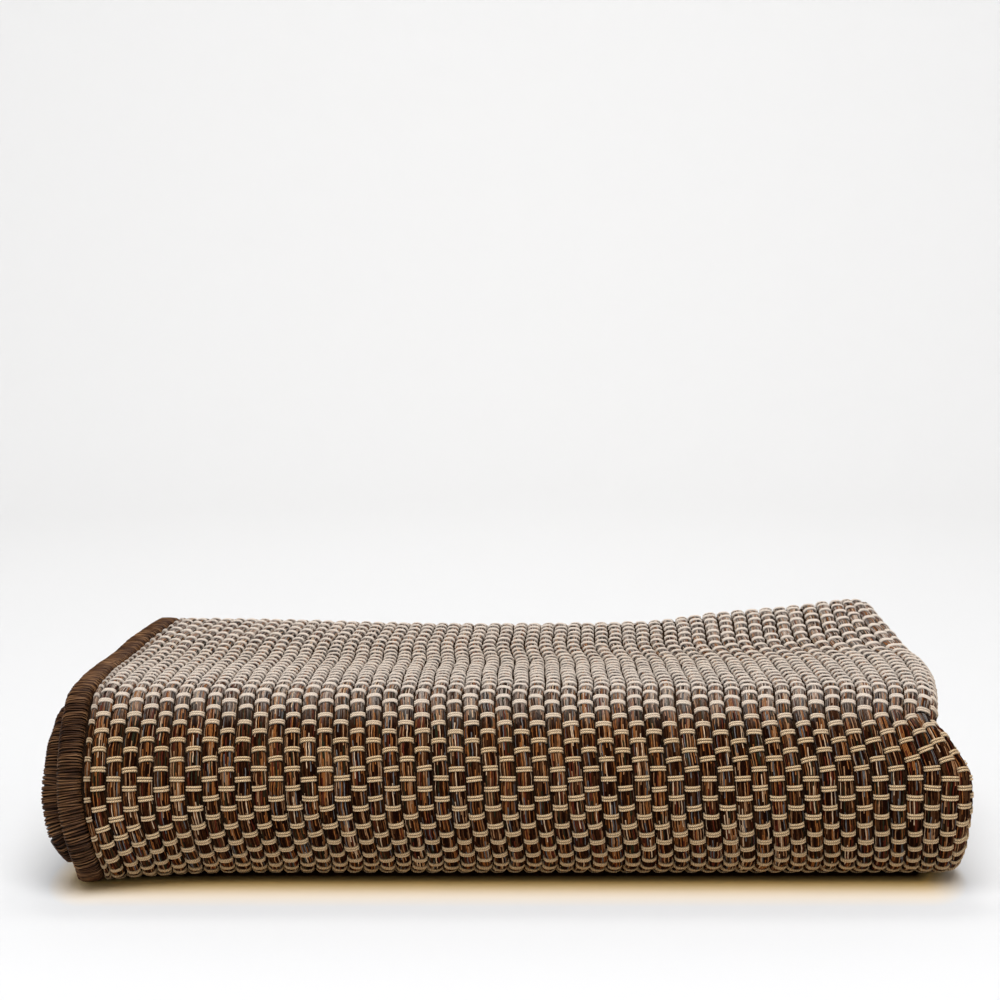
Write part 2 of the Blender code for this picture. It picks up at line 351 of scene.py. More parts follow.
def cloth_at(place, across, lift):
    """Points on the doubled cloth's outside, `across` weft bundles from its outer bound end."""
    place, across, lift = (np.array(v, dtype=float) for v in np.broadcast_arrays(place, across, lift))
    centre = end_of(place, TURN_END) - HALF_PAIR
    radius = HALF_PAIR + lift
    angle = math.pi / 2 - math.pi * np.clip((across - TURN_START) / BUNDLES_IN_TURN, 0, 1)
    x = centre + radius * np.cos(angle)
    x = np.where(across < TURN_START, across_from(place, OUTER_END, centre, across), x)
    x = np.where(across > TURN_STOP, across_from(place, INNER_END, centre, ALL_BUNDLES - across), x)
    return off_the_spine(place, x, radius * np.sin(angle))


def shift_to_frame():
    """The solids were centred on the origin after they were made: this finds by how much."""
    low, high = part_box("rug_cloth")
    widest = max(row[TURN_END] for row in CLOTH_ENDS) * MM
    every_bundle = np.linspace(0.0, BUNDLES_A_LAYER, BUNDLES_A_LAYER + 1)
    places, across = np.meshgrid(np.linspace(*FOREMOST_PLACES), every_bundle)
    foremost = cloth_at(places.ravel(), across.ravel(), 0.0)[:, 1].min()
    return high[0] - widest, low[1] - foremost


CENTRE_SHIFT = (0.0, 0.0)
CENTRE_SHIFT = shift_to_frame()


def unit(vectors):
    return vectors / np.linalg.norm(vectors, axis=1, keepdims=True)


def bundle_at(place, bundle):
    """Where a weft bundle runs, with its lean."""
    return cloth_at(place, leaning(place, bundle), 0.0)


def lay_of(place, bundle):
    """At points on a bundle: the way along it, the way outwards, and its distance to the next one."""
    step, half = 0.004, 0.5
    low, high = np.clip(place - step, 0, LAST_PLACE), np.clip(place + step, 0, LAST_PLACE)
    along = bundle_at(high, bundle) - bundle_at(low, bundle)
    sideways = bundle_at(place, bundle + half) - bundle_at(place, bundle - half)
    outwards = unit(np.cross(sideways, along))
    return unit(along), outwards, np.linalg.norm(sideways, axis=1)


# ---- Rows of the weave ----


def travelled(points):
    """How far a way has come at each of its points."""
    steps = np.linalg.norm(np.diff(points, axis=0), axis=1)
    return np.concatenate(([0.0], np.cumsum(steps)))


def way_lengths():
    """How far the cloth has come at each place: on its outer face while that shows, then in its middle."""
    places = np.linspace(0.0, LAST_PLACE, WAY_SAMPLES)
    out = np.where(places < LAST_OUTSIDE_PLACE, HALF_PAIR, 0.0)
    return places, travelled(off_the_spine(places, np.zeros_like(places), out))


WAY_PLACES, WAY_LENGTHS = way_lengths()


def place_after(length):
    return np.interp(length, WAY_LENGTHS, WAY_PLACES)


def length_to(place):
    return np.interp(place, WAY_PLACES, WAY_LENGTHS)


def crossings(first_place, last_place, first_bundle, last_bundle, offset):
    """Where the warp pairs pass over the weft bundles, as (row, bundle, length along the weft)."""
    low, high = length_to(first_place), length_to(last_place)
    whole_rows = np.arange(math.floor(low / ROW_PITCH) - 1, math.ceil(high / ROW_PITCH) + 1)
    rows, bundles = np.meshgrid(whole_rows, np.arange(first_bundle, last_bundle + 1))
    rows, bundles = rows.ravel(), bundles.ravel()
    lengths = (rows + 0.5 * (bundles % 2) + offset) * ROW_PITCH
    kept = (lengths >= low) & (lengths < high)
    return rows[kept], bundles[kept], lengths[kept]


# ---- Meshes ----


def link(made):
    bpy.context.scene.collection.objects.link(made)
    return made


def mesh_object(name, points, faces, corner_uvs):
    mesh = bpy.data.meshes.new(name)
    mesh.from_pydata([tuple(map(float, point)) for point in points], [], faces)
    mesh.uv_layers.new(name=PATTERN).data.foreach_set("uv", np.array(corner_uvs, dtype=np.float32).ravel())
    shape = bmesh.new()
    shape.from_mesh(mesh)
    bmesh.ops.recalc_face_normals(shape, faces=shape.faces)
    shape.to_mesh(mesh)
    shape.free()
    mesh.shade_smooth()
    return link(bpy.data.objects.new(name, mesh))


def joined_rings(rings, ring_heights, around=1.0, closed=False, start=0.0):
    """Points, faces and corner UVs of a tube through rings of points: U goes around it and V along it."""
    sides, count = len(rings[0]), len(rings)
    points = np.concatenate(rings)
    faces, uvs = [], []
    pairs = [(k, (k + 1) % count) for k in range(count if closed else count - 1)]
    for k, after in pairs:
        low = ring_heights[k]
        high = ring_heights[k + 1]
        for i in range(sides):
            j = (i + 1) % sides
            faces.append((k * sides + i, k * sides + j, after * sides + j, after * sides + i))
            left, right = start + around * i / sides, start + around * (i + 1) / sides
            uvs += [(left, low), (right, low), (right, high), (left, high)]
    if not closed:
        for k in (0, count - 1):
            faces.append(tuple(k * sides + i for i in range(sides)))
            uvs += [(start + around * i / sides, ring_heights[k]) for i in range(sides)]
    return points, faces, uvs


def merged(parts):
    """Several (points, faces, uvs) as one."""
    points, faces, uvs, start = [], [], [], 0
    for part_points, part_faces, part_uvs in parts:
        points.append(part_points)
        faces += [tuple(start + i for i in face) for face in part_faces]
        uvs += part_uvs
        start += len(part_points)
    return np.concatenate(points), faces, uvs


def bulged(values, squareness):
    """Sines or cosines pushed outwards, which turns a round outline into a squarer one."""
    return np.sign(values) * np.abs(values) ** squareness


# One length of a weft bundle, between two crossings: sizes in mm
BUNDLE_STATIONS = (
    # along, half width, top
    (-4.95, 2.95, -1.50),
    (-3.30, 3.62, -0.62),
    (0.00, 3.86, -0.20),
    (3.30, 3.62, -0.62),
    (4.95, 2.95, -1.50),
)
BUNDLE_BACK = -4.6
BUNDLE_SQUARENESS = 0.82
STRANDS_ACROSS = 19


def bundle_length(arch_sides):
    """An arch of strands on a flat back."""
    rings = []
    for along, half_width, top in BUNDLE_STATIONS:
        angles = np.linspace(math.pi, 0.0, arch_sides + 1)
        x = half_width * bulged(np.cos(angles), BUNDLE_SQUARENESS)
        z = BUNDLE_BACK + (top - BUNDLE_BACK) * bulged(np.sin(angles), BUNDLE_SQUARENESS)
        rings.append(np.column_stack((x, np.full_like(x, along), z)) * MM)
    heights = [station[0] * MM / ROW_PITCH for station in BUNDLE_STATIONS]
    around = STRANDS_ACROSS * (arch_sides + 1) / arch_sides
    return mesh_object("bundle_length", *joined_rings(rings, heights, around))


# The way of a warp yarn over a bundle: sizes in mm
YARN_RADIUS = 0.69
YARN_WAY = (
    # across, height of its middle
    (-3.25, -3.90),
    (-3.10, -1.55),
    (-1.95, -0.76),
    (0.00, -0.55),
    (1.95, -0.76),
    (3.10, -1.55),
    (3.25, -3.90),
)
YARN_WAY_PLAIN = (YARN_WAY[0], YARN_WAY[1], YARN_WAY[3], YARN_WAY[5], YARN_WAY[6])
PAIR_APART = 1.40
PAIR_STEP = 0.04


def round_yarn(way, sides, shift, lift):
    """A round yarn along a way of (across, height), shifted sideways and lifted."""
    way = np.array(way)
    angles = 2 * math.pi * (np.arange(sides) + 0.5) / sides
    out = YARN_RADIUS * np.cos(angles)
    rings = []
    for (across, height), slope in zip(way, unit(np.gradient(way, axis=0))):
        x = across - out * slope[1]
        z = height + lift + out * slope[0]
        rings.append(np.column_stack((x, shift + YARN_RADIUS * np.sin(angles), z)) * MM)
    return joined_rings(rings, travelled(way))


def warp_pair(way, sides):
    """Two warp yarns side by side, one a little higher, over one bundle and down on both sides of it."""
    parts = [round_yarn(way, sides, side * PAIR_APART / 2, -side * PAIR_STEP) for side in (-1, 1)]
    return mesh_object("warp_pair", *merged(parts))


# One wrap of the edge's binding: sizes in mm
WRAP_HALF_WIDTH = 5.9
WRAP_REACH = 0.6 * MM
WRAP_HALF_HEIGHT = 4.5
WRAP_SQUARENESS = 0.62
WRAP_YARN_RADIUS = 0.68
WRAP_POINTS = 12
WRAP_SIDES = 4
BAR_SHARE = 0.94
# Where the bar lies on the wraps' map: it takes their painted groove shade, darker than a ridge
BAR_SHADE = 0.205


def wrap_section(points, share=1.0):
    """The edge cut across: a rounded bar, as (across, height)."""
    angles = 2 * math.pi * np.arange(points) / points
    x = share * WRAP_HALF_WIDTH * bulged(np.cos(angles), WRAP_SQUARENESS)
    z = share * WRAP_HALF_HEIGHT * bulged(np.sin(angles), WRAP_SQUARENESS)
    return np.column_stack((x, z))


def one_wrap():
    """A turn of yarn round the edge, closed on itself."""
    section = wrap_section(WRAP_POINTS)
    slopes = unit(np.roll(section, -1, axis=0) - np.roll(section, 1, axis=0))
    angles = 2 * math.pi * np.arange(WRAP_SIDES) / WRAP_SIDES
    rings = []
    for (x, z), slope in zip(section, slopes):
        out = WRAP_YARN_RADIUS * np.cos(angles)
        ring_x, ring_z = x + out * slope[1], z - out * slope[0]
        rings.append(np.column_stack((ring_x, WRAP_YARN_RADIUS * np.sin(angles), ring_z)) * MM)
    heights = [k / WRAP_POINTS for k in range(WRAP_POINTS + 1)]
    return mesh_object("one_wrap", *joined_rings(rings, heights, closed=True))


# The weft's turn from one bundle to the next at a selvedge: sizes in mm
NUB_RADIUS = 4.05
NUB_HALF_WIDTH = 3.5
NUB_HALF_HEIGHT = 4.3
NUB_MIDDLE = -5.0
NUB_STEPS = 8
NUB_SIDES = 8


def selvedge_nub():
    rings, heights = [], []
    around = 2 * math.pi * np.arange(NUB_SIDES) / NUB_SIDES
    for step in range(NUB_STEPS + 1):
        turn = math.pi * (1 - step / NUB_STEPS)
        reach = NUB_RADIUS + NUB_HALF_WIDTH * np.cos(around)
        z = NUB_MIDDLE + NUB_HALF_HEIGHT * np.sin(around)
        rings.append(np.column_stack((reach * math.cos(turn), reach * math.sin(turn), z)) * MM)
        heights.append(step / NUB_STEPS)
    return mesh_object("selvedge_nub", *joined_rings(rings, heights, 2.0 * STRANDS_ACROSS))


# ---- Geometry Nodes: one shape laid many times on the cloth ----

PATTERN = "UVMap"
OUTWARDS, ALONG, STRETCH, PATTERN_START = "outwards", "along", "stretch", "pattern_start"
VECTOR = "FLOAT_VECTOR"
ALL_LEAST = (-1.0, -1.0, -1.0)
ALL_MOST = (1.0, 1.0, 1.0)

LAYING_INPUTS = (
    # name, kind of socket, value where none is given
    ("Places", "Geometry", None),
    ("Shape", "Object", None),
    ("Uneven turn", "Float", 0.05),
    ("Uneven size", "Float", 0.03),
    ("Seed", "Int", SEED),
    ("Finish", "Material", None),
)


class Nodes:
    """A node tree under construction."""

    def __init__(self, tree):
        self.tree = tree

    def feed(self, socket, value):
        if hasattr(value, "is_output"):
            self.tree.links.new(value, socket)
        else:
            socket.default_value = value

    def add(self, kind, inputs, **settings):
        """A node with its settings, and with its inputs fed by values or by other nodes' outputs."""
        node = self.tree.nodes.new(kind)
        for name, value in settings.items():
            setattr(node, name, value)
        for name, value in inputs.items():
            self.feed(node.inputs[name], value)
        return node

    def named(self, name):
        inputs = {"Name": name}
        return self.add("GeometryNodeInputNamedAttribute", inputs, data_type=VECTOR).outputs["Attribute"]

    def vector(self, operation, inputs):
        return self.add("ShaderNodeVectorMath", inputs, operation=operation).outputs["Vector"]

    def random_vector(self, seed):
        inputs = {"Min": ALL_LEAST, "Max": ALL_MOST, "Seed": seed}
        return self.add("FunctionNodeRandomValue", inputs, data_type=VECTOR).outputs["Value"]


def uneven_rotation(nodes, given):
    """The cloth's directions at each point, turned a little at random."""
    axes = {"Primary Axis": nodes.named(OUTWARDS), "Secondary Axis": nodes.named(ALONG)}
    facing = nodes.add("FunctionNodeAxesToRotation", axes, primary_axis="Z", secondary_axis="Y")
    spread = nodes.vector("SCALE", {0: nodes.random_vector(given["Seed"]), "Scale": given["Uneven turn"]})
    small = nodes.add("FunctionNodeEulerToRotation", {"Euler": spread})
    both = {"Rotation": facing.outputs["Rotation"], "Rotate By": small.outputs["Rotation"]}
    return nodes.add("FunctionNodeRotateRotation", both, rotation_space="LOCAL").outputs["Rotation"]


def uneven_scale(nodes, given):
    """The stretch at each point, made a little more or less at random."""
    other_seed = nodes.add("ShaderNodeMath", {0: given["Seed"], 1: 1.0}, operation="ADD").outputs["Value"]
    change = nodes.vector("SCALE", {0: nodes.random_vector(other_seed), "Scale": given["Uneven size"]})
    stretch = nodes.named(STRETCH)
    return nodes.vector("MULTIPLY_ADD", {0: change, 1: stretch, 2: stretch})


def moved_pattern(nodes, geometry):
    """The geometry with its map moved to where the pattern starts at each point."""
    moved = nodes.vector("ADD", {0: nodes.named(PATTERN), 1: nodes.named(PATTERN_START)})
    inputs = {"Name": PATTERN, "Geometry": geometry, "Value": moved}
    keep = nodes.add("GeometryNodeStoreNamedAttribute", inputs, data_type="FLOAT2", domain="CORNER")
    return keep.outputs["Geometry"]


def laying_group():
    """Lays a shape on every point, turned to the cloth there, with a little unevenness."""
    group = bpy.data.node_groups.new("lay_on_the_cloth", "GeometryNodeTree")
    for name, kind, default in LAYING_INPUTS:
        socket = group.interface.new_socket(name=name, in_out="INPUT", socket_type="NodeSocket" + kind)
        if default is not None:
            socket.default_value = default
    group.interface.new_socket(name="Laid", in_out="OUTPUT", socket_type="NodeSocketGeometry")
    nodes = Nodes(group)
    given = nodes.add("NodeGroupInput", {}).outputs
    shape = nodes.add("GeometryNodeObjectInfo", {"Object": given["Shape"]})
    laying = {
        "Points": given["Places"],
        "Instance": shape.outputs["Geometry"],
        "Rotation": uneven_rotation(nodes, given),
        "Scale": uneven_scale(nodes, given),
    }
    laid = nodes.add("GeometryNodeInstanceOnPoints", laying)
    real = nodes.add("GeometryNodeRealizeInstances", {"Geometry": laid.outputs["Instances"]})
    mapped = moved_pattern(nodes, real.outputs["Geometry"])
    finish = nodes.add("GeometryNodeSetMaterial", {"Geometry": mapped, "Material": given["Finish"]})
    nodes.add("NodeGroupOutput", {"Laid": finish.outputs["Geometry"]})
    return group


def points_object(points, attributes):
    mesh = bpy.data.meshes.new("places")
    mesh.from_pydata([tuple(map(float, point)) for point in points], [], [])
    for name, values in attributes.items():
        layer = mesh.attributes.new(name, VECTOR, "POINT")
        layer.data.foreach_set("vector", np.array(values, dtype=np.float32).ravel())
    return link(bpy.data.objects.new("places", mesh))


def drop(made):
    mesh = made.data
    bpy.data.objects.remove(made, do_unlink=True)
    if mesh.users == 0:
        bpy.data.meshes.remove(mesh)


def give(mesh, finish):
    """One finish for the whole mesh."""
    mesh.materials.append(finish)
    mesh.polygons.foreach_set("material_index", [0] * len(mesh.polygons))


def lay(name, group, shape, finish, places, uneven, seed):
    """Lays a shape on every place, with an uneven turn and size, and keeps it all as a plain mesh."""
    points, directions = places
    turn, size = uneven
    carrier = points_object(points, directions)
    modifier = carrier.modifiers.new("laid", "NODES")
    modifier.node_group = group
    values = {"Shape": shape, "Uneven turn": turn, "Uneven size": size, "Seed": seed, "Finish": finish}
    for socket in group.interface.items_tree:
        if socket.in_out == "INPUT" and socket.name in values:
            modifier[socket.identifier] = values[socket.name]
    depsgraph = bpy.context.evaluated_depsgraph_get()
    depsgraph.update()
    mesh = bpy.data.meshes.new_from_object(carrier.evaluated_get(depsgraph), depsgraph=depsgraph)
    carrier.modifiers.remove(modifier)
    drop(carrier)
    mesh.name = name
    for spent in (OUTWARDS, ALONG, STRETCH, PATTERN_START):
        if spent in mesh.attributes:
            mesh.attributes.remove(mesh.attributes[spent])
    mesh.materials.clear()
    give(mesh, finish)
    made = link(bpy.data.objects.new(name, mesh))
    print(name, "has", sum(len(face.vertices) - 2 for face in mesh.polygons), "triangles")
    return made


# ---- Finishes ----


class Finish(Nodes):
    """A material under construction, with short ways to add its nodes."""

    def __init__(self, name, roughness, sheen, gloss):
        self.material = bpy.data.materials.new(name)
        self.material.use_nodes = True
        self.material.diffuse_color = VIEWPORT_BROWN
        super().__init__(self.material.node_tree)
        self.shader = self.tree.nodes["Principled BSDF"]
        values = {"Roughness": roughness, "Sheen Weight": sheen, "Specular IOR Level": gloss, **SHEEN}
        for socket, value in values.items():
            self.feed(self.shader.inputs[socket], value)

    def math(self, operation, first, second=0.0, third=0.0):
        inputs = {0: first, 1: second, 2: third}
        return self.add("ShaderNodeMath", inputs, operation=operation).outputs["Value"]

    def times(self, first, second, plus=None):
        """The product of two values, with a third one added to it where it is given."""
        if plus is None:
            return self.math("MULTIPLY", first, second)
        return self.math("MULTIPLY_ADD", first, second, plus)

    def parts(self, vector):
        return self.add("ShaderNodeSeparateXYZ", {"Vector": vector}).outputs

    def pattern(self):
        """U and V of the piece's own map."""
        parts = self.parts(self.add("ShaderNodeUVMap", {}, uv_map=PATTERN).outputs["UV"])
        return parts["X"], parts["Y"]

    def combine(self, x, y, z=0.0):
        return self.add("ShaderNodeCombineXYZ", {0: x, 1: y, 2: z}).outputs["Vector"]

    def object_place(self):
        return self.add("ShaderNodeTexCoord", {}).outputs["Object"]

    def noise(self, where, scale, detail=2.0):
        inputs = {"Vector": where, "Scale": scale, "Detail": detail}
        return self.add("ShaderNodeTexNoise", inputs).outputs["Fac"]

    def drawn_out_noise(self, u, v, stretch):
        """Noise in streaks along the piece's own map."""
        across, along = stretch
        return self.noise(self.combine(self.times(u, across), self.times(v, along)), 2.0, detail=3.0)

    def chance(self, where):
        """A number from 0 to 1 that is even over each whole step of the pattern."""
        inputs = {"Vector": where}
        return self.add("ShaderNodeTexWhiteNoise", inputs, noise_dimensions="3D").outputs["Value"]

    def colours(self, where, stops, smooth):
        node = self.add("ShaderNodeValToRGB", {"Fac": where})
        ramp = node.color_ramp
        ramp.interpolation = "LINEAR" if smooth else "CONSTANT"
        while len(ramp.elements) < len(stops):
            ramp.elements.new(1.0)
        for element, (position, colour) in zip(ramp.elements, stops):
            element.position = position
            element.color = (*colour, 1.0)
        return node.outputs["Color"]

    def shade(self, colour, amount):
        """A colour made darker or lighter: amount is 1 where it stays."""
        return self.vector("SCALE", {0: colour, "Scale": amount})

    def ridge(self, around, start):
        """How far a point on a round yarn faces outwards: 1 on its ridge, 0 at its sides."""
        turned = self.times(self.math("ADD", around, start), 2 * math.pi)
        return self.math("MAXIMUM", self.math("COSINE", turned), 0.0)

    def paler_on_top(self, colour, pale, heights, share):
        """The colour, mixed with a share of a paler one where the cloth lies uppermost: painted light and
        sheen on the top.
        """
        low, high = heights
        inputs = {"Value": self.parts(self.object_place())["Z"], "From Min": low, "From Max": high}
        rise = self.add("ShaderNodeMapRange", inputs, interpolation_type="SMOOTHSTEP").outputs["Result"]
        mixed = self.add("ShaderNodeMix", {0: self.times(rise, share)}, data_type="RGBA")
        colour_sockets = [socket for socket in mixed.inputs if socket.type == "RGBA"]
        self.feed(colour_sockets[0], colour)
        self.feed(colour_sockets[1], (*pale, 1.0))
        return next(socket for socket in mixed.outputs if socket.type == "RGBA")

    def finished(self, colour, height, depth):
        bump = self.add("ShaderNodeBump", {"Strength": 1.0, "Distance": depth, "Height": height})
        self.feed(self.shader.inputs["Normal"], bump.outputs["Normal"])
        self.feed(self.shader.inputs["Base Color"], colour)
        return self.material


VIEWPORT_BROWN = (0.2, 0.13, 0.08, 1.0)

# Yarn colours, linear
NEAR_BLACK = (0.014, 0.0035, 0.0010)
DARK_BROWN = (0.040, 0.012, 0.0035)
COFFEE = (0.085, 0.034, 0.013)
MAROON = (0.11, 0.022, 0.010)
RUST = (0.28, 0.10, 0.028)
TAN = (0.36, 0.185, 0.088)
CREAM = (0.60, 0.41, 0.26)
SLATE = (0.13, 0.122, 0.12)
MOSS = (0.025, 0.025, 0.012)
SHEEN = {"Sheen Roughness": 0.15, "Sheen Tint": (1.0, 0.97, 0.95, 1.0)}

WEFT_STRANDS = (
    # share up from which each colour runs, colour
    (0.00, NEAR_BLACK),
    (0.26, DARK_BROWN),
    (0.46, COFFEE),
    (0.59, MAROON),
    (0.65, RUST),
    (0.77, TAN),
    (0.87, CREAM),
    (0.91, SLATE),
    (0.96, MOSS),
)

# Heights between which the cloth's uppermost side turns paler, and the paler colours: painted light and
# sheen on the top
PALE_WEFT_HEIGHTS = (80.0 * MM, 100.0 * MM)
PALE_WARP_HEIGHTS = (74.0 * MM, 99.0 * MM)
PALE_WEFT = (0.66, 0.55, 0.46)
PALE_WARP = (0.81, 0.735, 0.67)


# Pairs below are a factor for a value and what is added to it
WANDER = 1.4
WANDER_SCALE = 160.0
SWAP_STAGGER = 0.37
SWAPS_ALONG = 0.7
COLOUR_DRAW = 0.5
STRAND_SHEEN_DRAW = 2.5
FROM_THE_MIDDLE = (2.0, -1.0)
WEFT_FIBRES = (3.0, 2.4)
ROUND_LIGHT = (1.1, 0.05)
FIBRE_LIGHT = (3.0, -0.6)
STRAND_SHEEN_POWER = 1.6
STRAND_SHEEN_SHARE = (0.95, 0.02)
WEFT_FIBRE_RISE = 0.35
WEFT_RELIEF = 0.45 * MM


def weft_finish():
    """Strands side by side in a bundle, each of one colour for a few crossings."""
    finish = Finish("weft_strands", roughness=0.85, sheen=0.0, gloss=0.02)
    u, v = finish.pattern()
    wander = finish.noise(finish.object_place(), WANDER_SCALE, detail=1.0)
    u = finish.math("ADD", u, finish.times(wander, WANDER, -WANDER / 2))
    strand = finish.math("FLOOR", u)
    swap = finish.math("FLOOR", finish.times(strand, SWAP_STAGGER, finish.times(v, SWAPS_ALONG)))
    pick = finish.chance(finish.combine(strand, swap, COLOUR_DRAW))
    colour = finish.colours(pick, WEFT_STRANDS, smooth=False)
    # Painted shade: each strand darker towards its edges, where it turns down beside the next; light also
    # carries the fibres' own tone
    centred = finish.times(finish.math("FRACT", u), *FROM_THE_MIDDLE)
    roundness = finish.math("SUBTRACT", 1.0, finish.times(centred, centred))
    fibres = finish.drawn_out_noise(u, v, WEFT_FIBRES)
    light = finish.times(finish.times(roundness, *ROUND_LIGHT), finish.times(fibres, *FIBRE_LIGHT))
    # Painted light and sheen on the top: the uppermost strands mixed towards a paler colour, by a random
    # share for each strand
    strand_sheen = finish.math("POWER", finish.chance(finish.combine(strand, swap, STRAND_SHEEN_DRAW)), STRAND_SHEEN_POWER)
    top_sheen_share = finish.times(light, finish.times(strand_sheen, *STRAND_SHEEN_SHARE))
    colour = finish.paler_on_top(finish.shade(colour, light), PALE_WEFT, PALE_WEFT_HEIGHTS, top_sheen_share)
    height = finish.times(fibres, WEFT_FIBRE_RISE, finish.math("SQRT", roundness))
    return finish.finished(colour, height, WEFT_RELIEF)


STRAW_DARK = (0.21, 0.105, 0.036)
STRAW = (0.55, 0.375, 0.200)
STRAW_PALE = (0.74, 0.58, 0.39)
STRAW_TONES = ((0.0, STRAW_DARK), (0.5, STRAW), (1.0, STRAW_PALE))
PLY_SLANT = 0.62
PLIES = 2.0
PLY_SHADE = -0.85
YARN_FIBRES = 2600.0
YARN_FIBRE_TONE = (1.5, 0.22)
YARN_FIBRE_RISE = 0.3
YARN_RELIEF = 0.25 * MM
RIDGE_START = 0.1
RIDGE_POWER = 0.6
RIDGE_LIGHT = (0.72, 0.35)
PALE_WARP_SHARE = 0.7


def warp_finish():
    """Pale two-ply yarn: slanting plies, with fine fibres in them."""
    finish = Finish("warp_yarn", roughness=0.85, sheen=0.1, gloss=0.03)
    u, v = finish.pattern()
    # Painted shade: darker in the groove between the two plies, from STRAW_DARK, and towards the yarn's
    # sides; the fibres give the yarn's own tone
    twist = finish.math("FRACT", finish.times(v, PLY_SLANT, u))
    ply = finish.times(finish.math("FRACT", finish.times(twist, PLIES)), *FROM_THE_MIDDLE)
    ply = finish.math("ABSOLUTE", ply)
    fibres = finish.noise(finish.object_place(), YARN_FIBRES)
    tone = finish.times(ply, PLY_SHADE, finish.times(fibres, *YARN_FIBRE_TONE))
    colour = finish.colours(tone, STRAW_TONES, smooth=True)
    side_shade = finish.math("POWER", finish.ridge(u, RIDGE_START), RIDGE_POWER)
    colour = finish.shade(colour, finish.times(side_shade, *RIDGE_LIGHT))
    # Painted light and sheen: the uppermost yarn paler
    colour = finish.paler_on_top(colour, PALE_WARP, PALE_WARP_HEIGHTS, PALE_WARP_SHARE)
    height = finish.times(fibres, YARN_FIBRE_RISE, finish.math("SUBTRACT", 1.0, ply))
    return finish.finished(colour, height, YARN_RELIEF)


WRAP_DARK = (0.012, 0.0035, 0.0010)
WRAP_BROWN = (0.064, 0.026, 0.0095)
WRAP_PALE = (0.22, 0.115, 0.052)


WRAP_TONES = ((0.1, WRAP_DARK), (0.5, WRAP_BROWN), (1.0, WRAP_PALE))
WRAP_PATTERN_STEP = 8.0
WRAP_TONE = 0.35
THREADS = (5.0, 2.0)
THREAD_TONE = (2.8, -1.12)
THREAD_RISE = 0.6
PATCHES = 70.0
PATCH_TONE = (0.7, -0.35)
GROOVE_LIGHT = (1.15, 0.08)
BINDING_RELIEF = 0.35 * MM


def binding_finish():
    """Dark yarn wrapped round the edge: fine threads along each wrap, some of them paler."""
    finish = Finish("binding_yarn", roughness=0.5, sheen=0.0, gloss=0.12)
    u, v = finish.pattern()
    each_wrap = finish.math("FLOOR", finish.times(v, 1 / WRAP_PATTERN_STEP))
    wrap = finish.chance(finish.combine(each_wrap, COLOUR_DRAW, COLOUR_DRAW))
    threads = finish.drawn_out_noise(u, v, THREADS)
    patches = finish.noise(finish.object_place(), PATCHES)
    tone = finish.math("ADD", finish.times(wrap, WRAP_TONE), finish.times(threads, *THREAD_TONE))
    tone = finish.math("ADD", tone, finish.times(patches, *PATCH_TONE))
    colour = finish.colours(tone, WRAP_TONES, smooth=True)
    # Painted shade: each wrap darker towards its sides, in the grooves between the wraps
    groove_shade = finish.times(finish.ridge(u, 0.0), *GROOVE_LIGHT)
    height = finish.times(threads, THREAD_RISE, finish.ridge(u, 0.0))
    return finish.finished(finish.shade(colour, groove_shade), height, BINDING_RELIEF)


# Painted shade: the yarn deeper in the cloth, near-black because it lies in the shade between the bundles
CORE_SHADE_DARK = (0.006, 0.004, 0.003)
CORE_SHADE_BROWN = (0.035, 0.018, 0.009)
CORE_SHADE_TONES = ((0.3, CORE_SHADE_DARK), (0.8, CORE_SHADE_BROWN))
CORE_FIBRES = 900.0
CORE_RELIEF = 0.3 * MM


def core_shade_finish():
    finish = Finish("shaded_strands", roughness=0.95, sheen=0.0, gloss=0.0)
    fibres = finish.noise(finish.object_place(), CORE_FIBRES, detail=3.0)
    colour = finish.colours(fibres, CORE_SHADE_TONES, smooth=True)
    return finish.finished(colour, fibres, CORE_RELIEF)


# The floor: grey, with a painted shadow under the rug and then a painted warm bounce light from it close
# by, by distance from an outline
FLOOR_SHADOW_AND_GLOW = (
    # distance, colour
    (-17.0 * MM, (0.06, 0.025, 0.008)),
    (-5.0 * MM, (0.98, 0.68, 0.25)),
    (13.0 * MM, (0.84, 0.71, 0.54)),
    (34.0 * MM, (0.70, 0.70, 0.70)),
)
PAINTED_SHADOW_HALF_SIZE = (216.0 * MM, 105.0 * MM)
PAINTED_SHADOW_CORNER = 25.0 * MM
PAINTED_SHADOW_STEEPNESS = (2.2, 1.0)


def floor_finish():
    finish = Finish("pale_floor", roughness=0.9, sheen=0.0, gloss=0.0)
    parts = finish.parts(finish.object_place())
    past = []
    for axis, half, steepness in zip("XY", PAINTED_SHADOW_HALF_SIZE, PAINTED_SHADOW_STEEPNESS):
        straight = half - PAINTED_SHADOW_CORNER / steepness
        beyond = finish.math("SUBTRACT", finish.math("ABSOLUTE", parts[axis]), straight)
        beyond = finish.times(beyond, steepness)
        past.append(finish.math("POWER", finish.math("MAXIMUM", beyond, 0.0), 2.0))
    away = finish.math("SUBTRACT", finish.math("SQRT", finish.math("ADD", *past)), PAINTED_SHADOW_CORNER)
    nearest, furthest = FLOOR_SHADOW_AND_GLOW[0][0], FLOOR_SHADOW_AND_GLOW[-1][0]
    share = finish.math("DIVIDE", finish.math("SUBTRACT", away, nearest), furthest - nearest)
    stops = [((distance - nearest) / (furthest - nearest), tone) for distance, tone in FLOOR_SHADOW_AND_GLOW]
    # Painted shadow and painted warm bounce light near the rug, plain grey further off
    finish.feed(finish.shader.inputs["Base Color"], finish.colours(share, stops, smooth=True))
    return finish.material


# ---- The pieces ----

BODY = "root"
CLOTH_NODE = "rug_cloth"
SHIFT_ALONG = 0.30 * MM
SHIFT_ACROSS = 0.12 * MM
PAIR_PATTERN_STEP = 7

